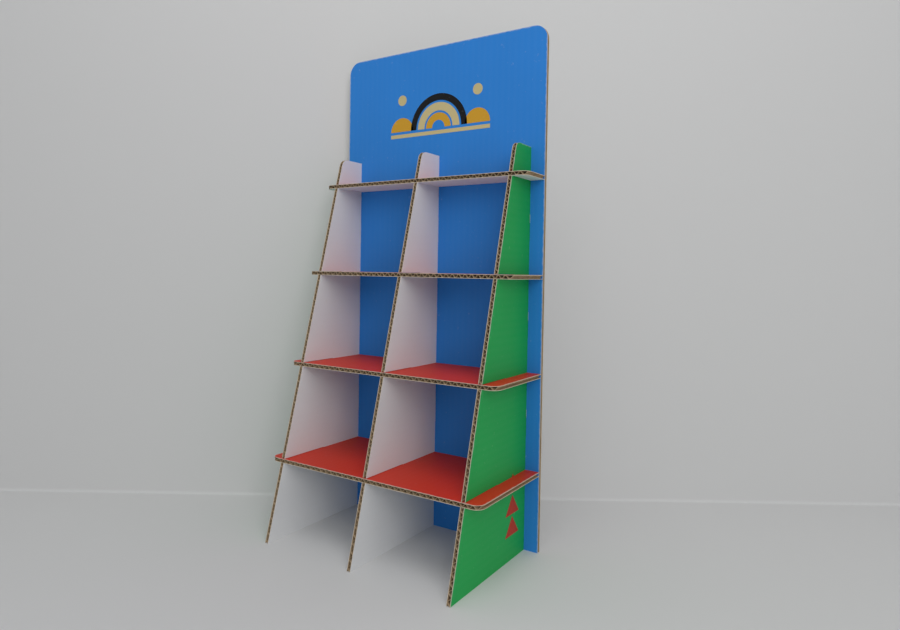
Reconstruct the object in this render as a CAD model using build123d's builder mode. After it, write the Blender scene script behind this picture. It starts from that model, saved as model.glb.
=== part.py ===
"""Slot-together counter display stand: a back panel, three uprights and four shelves of corrugated board.

The stand faces -Y and rests on Z = 0, with its origin under the middle of its bounding box.
The shelves and the uprights cross in half laps, and hooks on the uprights hang in slots of the back panel.
"""

from build123d import *
import math
import os

# Corrugated board: two flat liners glued to a fluted medium
board = 4.5
liner = 0.45
medium = 0.35
flute_pitch = 7.8
crest_width = 1.5
web = 0.45

# Back panel
panel_width = 278
panel_height = 570
panel_corner = 16

# Uprights: a vertical rear edge, and a front edge that leans back as it rises
upright_spacing = 120
upright_height = 440
foot_depth = 148
top_depth = 34
upright_corner = 10
upright_names = ("left_upright", "middle_upright", "right_upright")

# Shelves, as wide as the back panel
shelf_count = 4
first_shelf = 88.5
tier_pitch = 106.5
shelf_corner = 10

# Hooks on the rear edge of each upright, one in each tier above the first shelf
neck_height = 20
hook_drop = 8.5
hook_depth = 5
hook_corner = 2

# Fits
lap_clearance = 0.4
seat_clearance = 0.3
rear_clearance = 0.3
lift_clearance = 1.0

# Depths along Y, from the tips of the hooks to the toes of the uprights
hook_tip = (foot_depth + board + rear_clearance + hook_depth) / 2
hook_face = hook_tip - hook_depth
panel_face = hook_face - rear_clearance - board
toe = panel_face - foot_depth
overall_depth = hook_tip - toe

upright_places = [(i - 1) * upright_spacing for i in range(len(upright_names))]
shelf_tops = [first_shelf + i * tier_pitch for i in range(shelf_count)]
slot_width = board + lap_clearance
slot_height = neck_height + hook_drop + lift_clearance + seat_clearance


def front_edge(z):
    """Y of the leaning front edge of the uprights at height z."""
    return toe + (foot_depth - top_depth) * z / upright_height


def shelf_front(top):
    """Y of a shelf's front edge, which is flush with the uprights at the middle of its thickness."""
    return front_edge(top - board / 2)


def lap_middle(top):
    """Y where the slot of a shelf meets the slot of an upright."""
    return (shelf_front(top) + panel_face) / 2


def slot_middle(top):
    """Height of the middle of the panel slots in the tier above a shelf."""
    return top + (tier_pitch - board) / 2


def corrugated(plane, length):
    """Section of a board: local X runs along it and local Y through it."""
    bore = board - 2 * liner
    crest = bore - medium
    rise = bore / crest / 2
    base = (flute_pitch / 2 - crest_width * rise - web) / (1 - rise)
    lean = math.degrees(math.atan2(crest, (base - crest_width) / 2))
    with BuildSketch() as void:
        Trapezoid(base, crest, lean, align=(Align.CENTER, Align.MIN))
    count = math.ceil(length / flute_pitch) + 1
    with BuildSketch(plane) as section:
        Rectangle(length, board)
        with Locations((-flute_pitch / 4, -bore / 2)):
            with GridLocations(flute_pitch, 0, count, 1):
                add(void.sketch, mode=Mode.SUBTRACT)
        with Locations((flute_pitch / 4, bore / 2)):
            with GridLocations(flute_pitch, 0, count, 1):
                add(void.sketch, rotation=180, mode=Mode.SUBTRACT)
    return section.sketch


def make_panel():
    """Back panel: flutes run up it, and its slots take the hooks of the uprights."""
    middle = panel_face + board / 2
    section = corrugated(Plane(origin=(0, middle, 0), x_dir=(1, 0, 0), z_dir=(0, 0, 1)), panel_width)
    with BuildPart() as panel:
        extrude(section, amount=panel_height)
        with BuildSketch(Plane.XZ.offset(-panel_face)):
            with Locations((0, panel_height / 2)):
                outline = Rectangle(panel_width, panel_height)
            fillet(outline.vertices().group_by(Axis.Y)[-1], panel_corner)
            for top in shelf_tops[:-1]:
                with Locations([(x, slot_middle(top)) for x in upright_places]):
                    Rectangle(slot_width, slot_height, mode=Mode.SUBTRACT)
        extrude(amount=-board, mode=Mode.INTERSECT)
    return panel.part


def make_upright(x):
    """Upright: flutes run from front to back, slots in the front edge, hooks on the rear edge."""
    section = corrugated(
        Plane(origin=(x, hook_tip, upright_height / 2), x_dir=(0, 0, 1), z_dir=(0, -1, 0)), upright_height
    )
    with BuildPart() as upright:
        extrude(section, amount=overall_depth)
        with BuildSketch(Plane.YZ.offset(x - board / 2)) as outline:
            with BuildLine():
                Polyline(
                    (toe, 0),
                    (panel_face, 0),
                    (panel_face, upright_height),
                    (front_edge(upright_height), upright_height),
                    close=True,
                )
            make_face()
            fillet(outline.vertices().group_by(Axis.Y)[-1].sort_by(Axis.X)[0], upright_corner)
            for top in shelf_tops[:-1]:
                neck_low = slot_middle(top) - slot_height / 2 + seat_clearance
                with Locations((panel_face, neck_low)):
                    Rectangle(hook_tip - panel_face, neck_height, align=(Align.MIN, Align.MIN))
                with Locations((hook_face, neck_low - hook_drop)):
                    Rectangle(hook_depth, neck_height + hook_drop, align=(Align.MIN, Align.MIN))
            fillet(outline.vertices().group_by(Axis.X)[-1], hook_corner)
            for top in shelf_tops:
                with Locations((lap_middle(top) + lap_clearance / 2, top - board)):
                    Rectangle(foot_depth, slot_width, align=(Align.MAX, Align.MIN), mode=Mode.SUBTRACT)
        extrude(amount=board, mode=Mode.INTERSECT)
    return upright.part


def make_shelf(top):
    """Shelf: flutes run from front to back, front corners rounded, slots in the rear edge."""
    front = shelf_front(top)
    rear = panel_face - rear_clearance
    section = corrugated(
        Plane(origin=(0, rear, top - board / 2), x_dir=(1, 0, 0), z_dir=(0, -1, 0)), panel_width
    )
    with BuildPart() as shelf:
        extrude(section, amount=rear - front)
        with BuildSketch(Plane.XY.offset(top - board)) as outline:
            with Locations((0, front)):
                Rectangle(panel_width, rear - front, align=(Align.CENTER, Align.MIN))
            fillet(outline.vertices().group_by(Axis.Y)[0], shelf_corner)
            with Locations([(x, lap_middle(top) - lap_clearance / 2) for x in upright_places]):
                Rectangle(slot_width, foot_depth, align=(Align.CENTER, Align.MIN), mode=Mode.SUBTRACT)
        extrude(amount=board, mode=Mode.INTERSECT)
    return shelf.part


os.makedirs("parts", exist_ok=True)

pieces = {"back_panel": make_panel()}
for name, x in zip(upright_names, upright_places):
    pieces[name] = make_upright(x)
for number, top in enumerate(shelf_tops, start=1):
    pieces[f"shelf_{number}"] = make_shelf(top)

for name, piece in pieces.items():
    piece.label = name
    export_step(piece, f"parts/{name}.step")
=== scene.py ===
import math

import bmesh
import bpy
from bpy.props import FloatProperty, FloatVectorProperty, PointerProperty
from mathutils import Matrix, Vector


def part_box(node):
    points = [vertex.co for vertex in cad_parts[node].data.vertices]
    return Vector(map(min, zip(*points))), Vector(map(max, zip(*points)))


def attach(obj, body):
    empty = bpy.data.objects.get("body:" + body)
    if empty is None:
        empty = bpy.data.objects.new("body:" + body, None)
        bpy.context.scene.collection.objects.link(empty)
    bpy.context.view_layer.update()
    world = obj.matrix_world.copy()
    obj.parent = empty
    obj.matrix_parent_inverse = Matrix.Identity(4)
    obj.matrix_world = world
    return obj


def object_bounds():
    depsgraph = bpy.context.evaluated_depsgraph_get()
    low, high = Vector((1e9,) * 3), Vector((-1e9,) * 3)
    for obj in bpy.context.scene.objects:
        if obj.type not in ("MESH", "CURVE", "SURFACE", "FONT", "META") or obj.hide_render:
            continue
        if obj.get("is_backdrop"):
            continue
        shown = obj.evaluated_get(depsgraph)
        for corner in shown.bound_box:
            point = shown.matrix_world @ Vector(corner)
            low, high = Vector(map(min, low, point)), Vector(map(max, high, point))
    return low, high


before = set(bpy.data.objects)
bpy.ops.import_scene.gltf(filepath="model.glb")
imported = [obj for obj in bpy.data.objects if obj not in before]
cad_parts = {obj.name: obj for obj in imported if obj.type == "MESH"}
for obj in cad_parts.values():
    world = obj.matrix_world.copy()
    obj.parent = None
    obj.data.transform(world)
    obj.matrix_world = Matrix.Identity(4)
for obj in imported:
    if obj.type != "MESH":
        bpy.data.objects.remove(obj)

bl_info = {
    "name": "Cardboard display stand",
    "version": (1, 0, 0),
    "blender": (4, 5, 0),
    "location": "3D View > Sidebar > Display stand",
    "description": "Inks, boards and stage of a slot-together counter display stand",
    "category": "Object",
}

CAD_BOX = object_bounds()
PANEL = "back_panel"
LEFT, MIDDLE, RIGHT = "left_upright", "middle_upright", "right_upright"
SHELVES = tuple(sorted(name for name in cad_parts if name.startswith("shelf_")))
X, Y, Z = range(3)

# Settings


class StandColours(bpy.types.PropertyGroup):
    """Colours of the inks and of the bare board."""

    panel_blue: FloatVectorProperty(
        name="Panel blue", description="Ink on the front of the back panel",
        default=(0.029, 0.256, 0.766), subtype="COLOR")
    side_green: FloatVectorProperty(
        name="Side green", description="Ink on the outer faces of the side uprights",
        default=(0.011, 0.401, 0.083), subtype="COLOR")
    shelf_red: FloatVectorProperty(
        name="Shelf red", description="Ink on top of the shelves",
        default=(0.695, 0.038, 0.013), subtype="COLOR")
    triangle_red: FloatVectorProperty(
        name="Triangle red", description="Ink of the triangles on the side",
        default=(0.500, 0.045, 0.015), subtype="COLOR")
    liner_white: FloatVectorProperty(
        name="Liner white", description="Unprinted white liner",
        default=(0.820, 0.820, 0.820), subtype="COLOR")
    kraft: FloatVectorProperty(
        name="Kraft", description="Cut edges of the liners",
        default=(0.74, 0.65, 0.52), subtype="COLOR")
    medium: FloatVectorProperty(
        name="Medium", description="Brown paper of the flutes",
        default=(0.42, 0.31, 0.19), subtype="COLOR")
    cream: FloatVectorProperty(
        name="Cream", description="Pale ink of the header motif",
        default=(0.66, 0.56, 0.28), subtype="COLOR")
    amber: FloatVectorProperty(
        name="Amber", description="Yellow ink of the header motif",
        default=(0.70, 0.38, 0.03), subtype="COLOR")
    black: FloatVectorProperty(
        name="Black", description="Dark ink of the header motif",
        default=(0.008, 0.008, 0.009), subtype="COLOR")


class StandSizes(bpy.types.PropertyGroup):
    """Sizes of the board's structure and of its prints."""

    flute_pitch: FloatProperty(
        name="Flute pitch", description="Distance between two flutes", default=0.0078, unit="LENGTH")
    liner: FloatProperty(
        name="Liner", description="Thickness of the outer paper", default=0.00045, unit="LENGTH")
    top_depth: FloatProperty(
        name="Top depth", description="Depth of the uprights at their top", default=0.034, unit="LENGTH")
    lift: FloatProperty(
        name="Lift", description="Gap between a print and its board", default=0.00008, unit="LENGTH")
    arch: FloatProperty(
        name="Arch", description="Outer radius of the large arch", default=0.040, unit="LENGTH")
    header_height: FloatProperty(
        name="Header height", description="Height of the motif's base line", default=0.474, unit="LENGTH")
    triangle: FloatProperty(
        name="Triangle", description="Width of the triangles on the side", default=0.030, unit="LENGTH")
    triangle_pitch: FloatProperty(
        name="Triangle pitch", description="Distance between triangles", default=0.0224, unit="LENGTH")
    triangle_base: FloatProperty(
        name="Triangle base", description="Height of the lowest triangle", default=0.0264, unit="LENGTH")
    triangle_inset: FloatProperty(
        name="Triangle inset", description="Triangles' distance from the panel", default=0.0293, unit="LENGTH")


class StageSizes(bpy.types.PropertyGroup):
    """Where the stand is seen from, and the light on it."""

    eye: FloatVectorProperty(
        name="Eye", description="Where the camera stands",
        default=(0.4314, -0.5634, 0.3042), subtype="XYZ", unit="LENGTH")
    heading: FloatProperty(
        name="Heading", description="Camera turned left of straight ahead",
        default=math.radians(32.52), subtype="ANGLE")
    dip: FloatProperty(
        name="Dip", description="Camera tilt below level", default=math.radians(1.288), subtype="ANGLE")
    roll: FloatProperty(
        name="Roll", description="Camera roll", default=math.radians(0.948), subtype="ANGLE")
    lens: FloatProperty(
        name="Lens", description="Focal length in mm for a sensor 36 mm wide", default=25.74, min=1.0)
    shift: FloatVectorProperty(
        name="Shift", description="Lens shift to the side and upward", size=2, default=(-0.0063, -0.0326))
    wall: FloatProperty(
        name="Wall", description="Distance from the camera to the wall", default=0.857, unit="LENGTH")
    paint: FloatVectorProperty(
        name="Paint", description="Colour of the floor and of the backdrop",
        default=(0.703, 0.701, 0.695), subtype="COLOR")
    key_power: FloatProperty(
        name="Key light", description="Power of the large lamp on the right", default=12.4, min=0.0)
    top_power: FloatProperty(
        name="Top light", description="Power of the lamp overhead", default=4.07, min=0.0)
    sky: FloatProperty(
        name="Sky", description="Strength of the even light all round", default=0.389, min=0.0)


# Shader maths


class Socket:
    """A shader socket that takes part in Python expressions."""

    def __init__(self, finish, link):
        self.finish = finish
        self.link = link

    def maths(self, operation, *values):
        """Result of a Math node."""
        return self.finish.node("ShaderNodeMath", {"operation": operation}, dict(enumerate(values)))

    def __add__(self, other):
        return self.maths("ADD", self, other)

    def __radd__(self, other):
        return self.maths("ADD", other, self)

    def __sub__(self, other):
        return self.maths("SUBTRACT", self, other)

    def __rsub__(self, other):
        return self.maths("SUBTRACT", other, self)

    def __mul__(self, other):
        return self.maths("MULTIPLY", self, other)

    def __rmul__(self, other):
        return self.maths("MULTIPLY", other, self)

    def __truediv__(self, other):
        return self.maths("DIVIDE", self, other)

    def __rtruediv__(self, other):
        return self.maths("DIVIDE", other, self)

    def __gt__(self, other):
        return self.maths("GREATER_THAN", self, other)

    def __lt__(self, other):
        return self.maths("LESS_THAN", self, other)

    def least(self, other):
        """The smaller of two values."""
        return self.maths("MINIMUM", self, other)

    def cosine(self):
        """The cosine of an angle in radians."""
        return self.maths("COSINE", self)

    def clamp(self):
        """The value kept between 0 and 1."""
        return self.maths("MINIMUM", self.maths("MAXIMUM", self, 0.0), 1.0)


class Finish:
    """A material's node tree, with one principled shader."""

    def __init__(self, name, specular=0.25):
        self.material = bpy.data.materials.new(name)
        self.material.use_nodes = True
        self.tree = self.material.node_tree
        self.shader = self.tree.nodes["Principled BSDF"]
        self.shader.inputs["Specular IOR Level"].default_value = specular

    def put(self, socket, value):
        """Links or sets one socket."""
        if isinstance(value, Socket):
            self.tree.links.new(value.link, socket)
        elif socket.type == "RGBA":
            socket.default_value = (*value[:3], 1.0)
        else:
            socket.default_value = value

    def node(self, kind, settings, inputs, output=0):
        """Adds a node with its settings and its sockets, and gives one of its outputs."""
        made = self.tree.nodes.new(kind)
        for key, value in settings.items():
            setattr(made, key, value)
        for key, value in inputs.items():
            self.put(made.inputs[key], value)
        return Socket(self, made.outputs[output])

    def feed(self, **inputs):
        """Links or sets the shader's own sockets."""
        for key, value in inputs.items():
            self.put(self.shader.inputs[key.replace("_", " ")], value)

    def place(self):
        """Position on the stand, in metres."""
        return self.node("ShaderNodeTexCoord", {}, {}, "Object")

    def axes(self, vector):
        """The three parts of a vector."""
        split = self.node("ShaderNodeSeparateXYZ", {}, {0: vector})
        return [Socket(self, part) for part in split.link.node.outputs]

    def noise(self, scale, detail=3.0, stretch=(1.0, 1.0, 1.0)):
        """Noise around 0.5 whose features are about 1/scale metres wide."""
        spot = self.node("ShaderNodeMapping", {}, {"Vector": self.place(), "Scale": stretch})
        return self.node("ShaderNodeTexNoise", {}, {"Vector": spot, "Scale": scale, "Detail": detail})

    def mix(self, factor, low, high):
        """Blend of two colours."""
        return self.node("ShaderNodeMix", {"data_type": "RGBA"}, {0: factor, 6: low, 7: high}, 2)

    def relief(self, height, depth):
        """Bump of the given depth in metres."""
        self.feed(Normal=self.node("ShaderNodeBump", {}, {"Distance": depth, "Height": height}))


def shade(colour, factor):
    """A colour made darker or lighter."""
    return tuple(min(1.0, part * factor) for part in colour)


def box(name):
    """Lowest and highest corner of a CAD node."""
    return [Vector(corner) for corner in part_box(name)]


# Boards


class Board(Finish):
    """Corrugated board: ink on one face, white liner on the other, and bare paper on its cut edges."""

    def __init__(self, name, across, along):
        super().__init__(name)
        self.across = across
        self.wave = next(axis for axis in (X, Y, Z) if axis not in (across, along))
        self.low, self.high = box(name)
        self.position = self.axes(self.place())
        self.grain = self.noise(1500.0, 2.0)
        self.fibre = self.noise(300.0, 4.0, stretch=(1.0, 1.0, 0.35))

    def face(self, side):
        """1 on the outer face on one side of the board, and 0 on its edges and in its flutes."""
        normal = self.axes(self.node("ShaderNodeNewGeometry", {}, {}, "True Normal"))[self.across]
        depth, reach = self.position[self.across], 0.00012
        if side > 0:
            return (depth > self.high[self.across] - reach) * (normal > 0.7)
        return (depth < self.low[self.across] + reach) * (normal < -0.7)

    def cut_edge(self):
        """Pale liners with brown flutes between them."""
        colours, liner = bpy.context.scene.stand_colours, bpy.context.scene.stand_sizes.liner
        depth = self.position[self.across]
        lip = (depth < self.low[self.across] + liner) + (depth > self.high[self.across] - liner)
        brown = self.mix(self.fibre, shade(colours.medium, 0.6), shade(colours.medium, 1.5))
        pale = self.mix(self.grain, shade(colours.kraft, 0.7), shade(colours.kraft, 1.3))
        return self.mix(lip.clamp() * (0.6 + self.fibre * 0.6), brown, pale)

    def ripple(self):
        """Faint ridges over the flutes, from 0 to 1."""
        pitch = bpy.context.scene.stand_sizes.flute_pitch
        return (self.position[self.wave] * (2 * math.pi / pitch)).cosine() * 0.5 + 0.5

    def inked(self, colour, rim):
        """Ink over the ridges, rubbed along the rim."""
        white = bpy.context.scene.stand_colours.liner_white
        cloud = self.noise(8.0)
        rub = ((1.0 - rim / 0.0014) + (self.noise(160.0, 5.0) - 0.5) * 2.4).clamp()
        speck = ((self.noise(240.0, 5.0) - 0.68) * 8.0).clamp()
        ink = self.mix(cloud, shade(colour, 0.90), shade(colour, 1.10))
        ink = self.mix(self.ripple() * 0.006, ink, white)
        ink = self.mix(rub * 0.35, ink, white)
        return self.mix(speck * 0.15, ink, white)

    def bare(self):
        """White liner with a few brown fibres showing."""
        colours = bpy.context.scene.stand_colours
        paper = self.mix(self.noise(9.0), shade(colours.liner_white, 0.94), shade(colours.liner_white, 1.03))
        paper = self.mix(self.ripple() * 0.02, paper, shade(colours.liner_white, 0.8))
        return self.mix(((self.fibre - 0.62) * 4.0).clamp() * 0.2, paper, colours.kraft)

    def build(self, ink, side, rim):
        """Puts the inked face on one side and the bare liner on the other."""
        front, back = self.face(side), self.face(-side)
        colour = self.mix(back, self.cut_edge(), self.bare())
        colour = self.mix(front, colour, self.inked(ink, rim) if ink else self.bare())
        gloss = front * (0.30 if ink else 0.0)
        self.feed(Base_Color=colour, Roughness=0.80 - gloss + (self.grain - 0.5) * 0.12)
        self.relief(self.ripple() * (front + back) * 0.10 + self.grain * 0.25 + self.fibre * 0.3, 0.00007)
        return self.material


def dress(name, material):
    """Puts a material into every slot of a CAD node."""
    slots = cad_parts[name].material_slots
    if not slots:
        raise ValueError(f"{name} has no material slot")
    for slot in slots:
        slot.material = material


class STAND_OT_back_panel(bpy.types.Operator):
    """Blue front and white back of the tall panel"""

    bl_idname = "stand.back_panel"
    bl_label = "Back panel"

    def execute(self, context):
        board = Board(PANEL, across=Y, along=Z)
        x, _, z = board.position
        rim = (x - board.low.x).least(board.high.x - x).least(board.high.z - z)
        dress(PANEL, board.build(context.scene.stand_colours.panel_blue, -1, rim))
        return {"FINISHED"}


class STAND_OT_uprights(bpy.types.Operator):
    """Green outer faces of the side uprights; every other face is white"""

    bl_idname = "stand.uprights"
    bl_label = "Uprights"

    def execute(self, context):
        green = context.scene.stand_colours.side_green
        for name, ink, side in ((LEFT, green, -1), (MIDDLE, None, 1), (RIGHT, green, 1)):
            board = Board(name, across=X, along=Y)
            _, y, z = board.position
            rear = box(PANEL)[0].y
            run = rear - board.low.y - context.scene.stand_sizes.top_depth
            front = board.low.y + z * (run / board.high.z)
            dress(name, board.build(ink, side, (y - front).least(board.high.z - z)))
        return {"FINISHED"}


class STAND_OT_shelves(bpy.types.Operator):
    """Red tops and white undersides of the shelves"""

    bl_idname = "stand.shelves"
    bl_label = "Shelves"

    def execute(self, context):
        for name in SHELVES:
            board = Board(name, across=Z, along=Y)
            x, y, _ = board.position
            rim = (x - board.low.x).least(board.high.x - x).least(y - board.low.y)
            dress(name, board.build(context.scene.stand_colours.shelf_red, 1, rim))
        return {"FINISHED"}


# Prints


def ink_finish(name, colour):
    """Printed ink, a little uneven and rubbed."""
    paint = Finish(name)
    grain = paint.noise(1500.0, 2.0)
    speck = ((paint.noise(240.0, 5.0) - 0.66) * 8.0).clamp()
    ink = paint.mix(paint.noise(12.0), shade(colour, 0.92), shade(colour, 1.08))
    white = bpy.context.scene.stand_colours.liner_white
    paint.feed(Base_Color=paint.mix(speck * 0.12, ink, white), Roughness=0.46 + grain * 0.1)
    paint.relief(grain, 0.00002)
    return paint.material


def flat_print(name, outlines, to_place, material):
    """Thin print made of flat outlines; to_place turns a point of the print into a place on the stand."""
    mesh = bpy.data.meshes.new(name)
    shape = bmesh.new()
    for outline in outlines:
        shape.faces.new([shape.verts.new(to_place(u, v)) for u, v in outline])
    shape.to_mesh(mesh)
    shape.free()
    mesh.materials.append(material)
    piece = bpy.data.objects.new(name, mesh)
    bpy.context.scene.collection.objects.link(piece)
    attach(piece, "root")
    return piece


def disc(centre, radius, turn=2 * math.pi, steps=48):
    """Outline of a disc, or of its upper half where turn is half a circle."""
    angles = [turn * i / steps for i in range(steps if turn > 4 else steps + 1)]
    return [(centre[0] + radius * math.cos(a), centre[1] + radius * math.sin(a)) for a in angles]


def arch(centre, inner, outer, steps=40):
    """Four-sided pieces of a half ring."""
    def spot(radius, i):
        angle = math.pi * i / steps
        return centre[0] + radius * math.cos(angle), centre[1] + radius * math.sin(angle)
    return [[spot(inner, i), spot(outer, i), spot(outer, i + 1), spot(inner, i + 1)] for i in range(steps)]


class STAND_OT_header_print(bpy.types.Operator):
    """Plain motif of nested arches, dots and a bar on the header"""

    bl_idname = "stand.header_print"
    bl_label = "Header print"

    def execute(self, context):
        colours, size = context.scene.stand_colours, context.scene.stand_sizes
        front, base, large = box(PANEL)[0].y - size.lift, size.header_height, size.arch
        small, aside, rule = large * 0.42, large * 1.34, large * 0.08
        wide = aside + small
        shapes = {
            "black": arch((0, 0), large * 0.80, large),
            "cream": arch((0, 0), large * 0.50, large * 0.74),
            "amber": arch((0, 0), large * 0.22, large * 0.44),
        }
        for u in (-aside, aside):
            shapes["amber"].append(disc((u, 0), small, math.pi))
            shapes["cream"].append(disc((u, large * 0.95), large * 0.16))
        shapes["cream"].append([(-wide, -2.4 * rule), (wide, -2.4 * rule), (wide, -rule), (-wide, -rule)])
        for name, outlines in shapes.items():
            ink = ink_finish(f"ink_{name}", getattr(colours, name))
            flat_print(f"header_{name}", outlines, lambda u, v: (u, front, base + v), ink)
        return {"FINISHED"}


class STAND_OT_side_print(bpy.types.Operator):
    """Three stacked red triangles low on the right side"""

    bl_idname = "stand.side_print"
    bl_label = "Side print"

    def execute(self, context):
        size = context.scene.stand_sizes
        ink = ink_finish("ink_triangle", context.scene.stand_colours.triangle_red)
        face = box(RIGHT)[1].x + size.lift
        centre = box(PANEL)[0].y - size.triangle_inset
        half, rise = size.triangle / 2, size.triangle * 0.68
        bases = [size.triangle_base + i * size.triangle_pitch for i in range(3)]
        outlines = [[(-half, base), (half, base), (0, base + rise)] for base in bases]
        flat_print("side_triangles", outlines, lambda u, v: (face, centre + u, v), ink)
        return {"FINISHED"}


# Stage


def clear_from_behind(paint):
    """Lets a camera behind the surface look through it, while the surface still stops light."""
    behind = paint.node("ShaderNodeNewGeometry", {}, {}, "Backfacing")
    seen = paint.node("ShaderNodeLightPath", {}, {}, "Is Camera Ray")
    clear = paint.node("ShaderNodeBsdfTransparent", {}, {})
    solid = Socket(paint, paint.shader.outputs[0])
    mixed = paint.node("ShaderNodeMixShader", {}, {0: behind * seen, 1: solid, 2: clear})
    paint.put(paint.tree.nodes["Material Output"].inputs["Surface"], mixed)


def backdrop(stage):
    """Floor that turns up into a wall square to the camera, close behind the stand."""
    width, depth, height, bend, steps = 6.0, 4.0, 4.0, 0.004, 8
    back = stage.wall
    right = Vector((math.cos(stage.heading), math.sin(stage.heading), 0))
    ahead = Vector((-right.y, right.x, 0))
    foot = Vector((stage.eye[0], stage.eye[1], 0))
    turns = [math.pi / 2 * i / steps for i in range(1, steps + 1)]
    profile = [(-depth, 0.0), (back - bend, 0.0)]
    profile += [(back - bend + bend * math.sin(t), bend - bend * math.cos(t)) for t in turns]
    profile.append((back, height))
    mesh = bpy.data.meshes.new("backdrop")
    shape = bmesh.new()
    rows = [[shape.verts.new(foot + right * x + ahead * y + Vector((0, 0, z))) for y, z in profile]
            for x in (-width, width)]
    for i in range(len(profile) - 1):
        shape.faces.new((rows[0][i], rows[1][i], rows[1][i + 1], rows[0][i + 1])).smooth = True
    shape.to_mesh(mesh)
    shape.free()
    paint = Finish("backdrop_paint", specular=0.2)
    paint.feed(Base_Color=stage.paint, Roughness=0.75)
    clear_from_behind(paint)
    mesh.materials.append(paint.material)
    piece = bpy.data.objects.new("backdrop", mesh)
    bpy.context.scene.collection.objects.link(piece)
    piece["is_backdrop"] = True


def soft_lamp(name, place, aim, size, power):
    """Square area lamp aimed at a point."""
    data = bpy.data.lights.new(name, "AREA")
    data.size = size
    data.energy = power
    lamp = bpy.data.objects.new(name, data)
    lamp.location = place
    lamp.rotation_euler = (Vector(aim) - Vector(place)).to_track_quat("-Z", "Y").to_euler()
    bpy.context.scene.collection.objects.link(lamp)


def camera(stage):
    """Camera at eye height, close to the stand and to its right."""
    data = bpy.data.cameras.new("camera")
    data.sensor_width = 36.0
    data.sensor_fit = "HORIZONTAL"
    data.lens = stage.lens
    data.shift_x, data.shift_y = stage.shift
    data.clip_start = 0.01
    eye = bpy.data.objects.new("camera", data)
    eye.location = stage.eye
    aim = Matrix.Rotation(stage.heading, 3, "Z") @ Matrix.Rotation(math.pi / 2 - stage.dip, 3, "X")
    eye.rotation_euler = (aim @ Matrix.Rotation(stage.roll, 3, "Z")).to_euler()
    bpy.context.scene.collection.objects.link(eye)
    bpy.context.scene.camera = eye


class STAND_OT_stage(bpy.types.Operator):
    """Pale floor and backdrop, soft lamps and the camera"""

    bl_idname = "stand.stage"
    bl_label = "Stage"

    def execute(self, context):
        stage = context.scene.stand_stage
        backdrop(stage)
        soft_lamp("key", (1.5, -1.4, 1.2), (0.0, 0.1, 0.30), 1.2, stage.key_power)
        soft_lamp("top", (0.30, -0.45, 1.50), (0.05, 0.0, 0.30), 0.8, stage.top_power)
        world = bpy.data.worlds.new("studio")
        world.use_nodes = True
        sky = world.node_tree.nodes["Background"].inputs
        sky["Color"].default_value = (0.95, 0.97, 1.0, 1.0)
        sky["Strength"].default_value = stage.sky
        context.scene.world = world
        context.scene.view_settings.view_transform = "Standard"
        camera(stage)
        return {"FINISHED"}


# Sidebar and registration


class STAND_PT_sidebar(bpy.types.Panel):
    """Buttons and settings of the display stand"""

    bl_idname = "STAND_PT_sidebar"
    bl_label = "Display stand"
    bl_space_type = "VIEW_3D"
    bl_region_type = "UI"
    bl_category = "Display stand"

    def draw(self, context):
        for operator in OPERATORS:
            self.layout.operator(operator.bl_idname)
        for name, group in GROUPS.items():
            for key in group.__annotations__:
                self.layout.prop(getattr(context.scene, name), key)


GROUPS = {"stand_colours": StandColours, "stand_sizes": StandSizes, "stand_stage": StageSizes}
OPERATORS = (
    STAND_OT_back_panel, STAND_OT_uprights, STAND_OT_shelves,
    STAND_OT_header_print, STAND_OT_side_print, STAND_OT_stage,
)
CLASSES = (*GROUPS.values(), *OPERATORS, STAND_PT_sidebar)


def register():
    for item in CLASSES:
        bpy.utils.register_class(item)
    for name, group in GROUPS.items():
        setattr(bpy.types.Scene, name, PointerProperty(type=group))


def unregister():
    for name in GROUPS:
        delattr(bpy.types.Scene, name)
    for item in reversed(CLASSES):
        bpy.utils.unregister_class(item)


def main():
    """Builds the looks of the stand piece by piece, then its stage."""
    register()
    bpy.ops.stand.back_panel()
    bpy.ops.stand.uprights()
    bpy.ops.stand.shelves()
    bpy.ops.stand.header_print()
    bpy.ops.stand.side_print()
    bpy.ops.stand.stage()
    boxes = {"cad": CAD_BOX, "visual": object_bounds()}
    boxes = {name: [[float(v) for v in corner] for corner in corners] for name, corners in boxes.items()}


if __name__ == "__main__":
    main()
